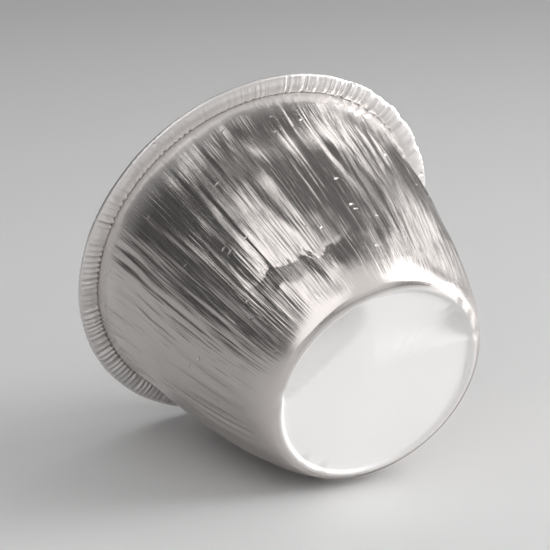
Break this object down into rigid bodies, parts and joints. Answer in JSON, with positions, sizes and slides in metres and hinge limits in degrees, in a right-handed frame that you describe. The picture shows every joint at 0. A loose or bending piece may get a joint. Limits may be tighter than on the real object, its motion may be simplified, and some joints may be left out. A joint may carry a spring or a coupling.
{
  "type": "foil pudding basin",
  "caption": "Round pleated foil pudding basin with a flat base on a standing ring, a bowed tapering wall and a crimped rim that is turned under.",
  "frame": {"origin": "centre of the standing ring, on the plane that it rests on", "axes": "+Z is the basin's axis, from the base to the open mouth; +X and +Y are across the base"},
  "size_m": [0.0921, 0.0922, 0.0586],
  "materials": {
    "foil": "bright wrinkled foil, satin on the base panel"
  },
  "bodies": {
    "root": {"basin": "foil"}
  },
  "joints": []
}
